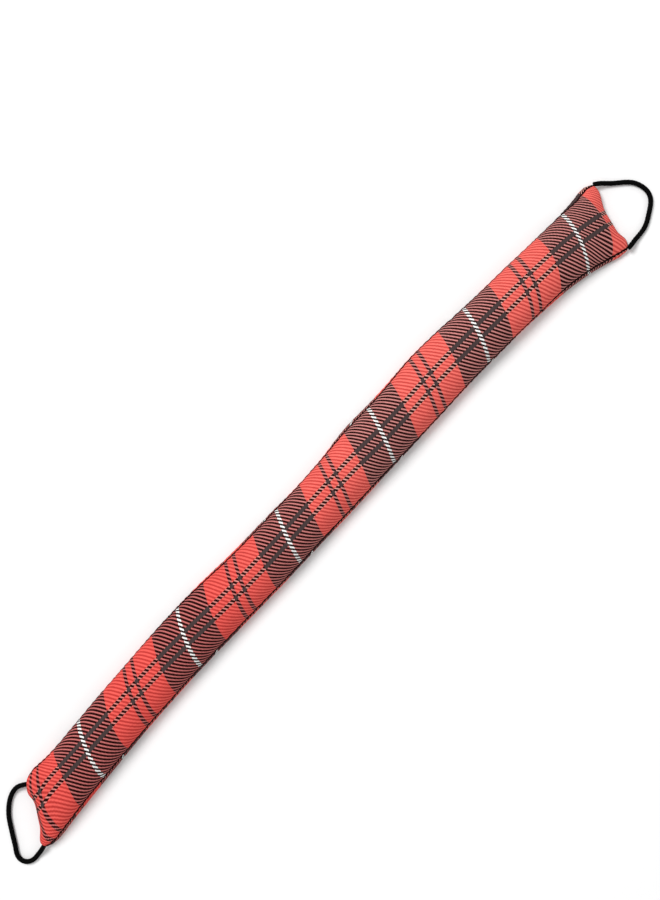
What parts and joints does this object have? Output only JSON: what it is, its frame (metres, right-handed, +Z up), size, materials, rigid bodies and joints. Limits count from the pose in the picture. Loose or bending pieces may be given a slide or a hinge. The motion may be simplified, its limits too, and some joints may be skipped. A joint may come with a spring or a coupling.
{
  "type": "draught excluder",
  "caption": "Long stuffed fabric tube, gently curved, sewn from two panels, with a cord loop at each end, lying flat to block a door gap.",
  "frame": {"origin": "below the middle of the cloth tube, on the surface it lies on", "axes": "+X along the tube, +Y across it in the surface, +Z up from the surface through the front panel"},
  "size_m": [0.9729, 0.0897, 0.0366],
  "materials": {
    "tartan_cloth": "twill-woven red, black and white tartan cotton",
    "black_cord": "braided black cord"
  },
  "bodies": {
    "root": {"stuffed_tube": "tartan_cloth", "cord_loop_left": "black_cord", "cord_loop_right": "black_cord"}
  },
  "joints": []
}
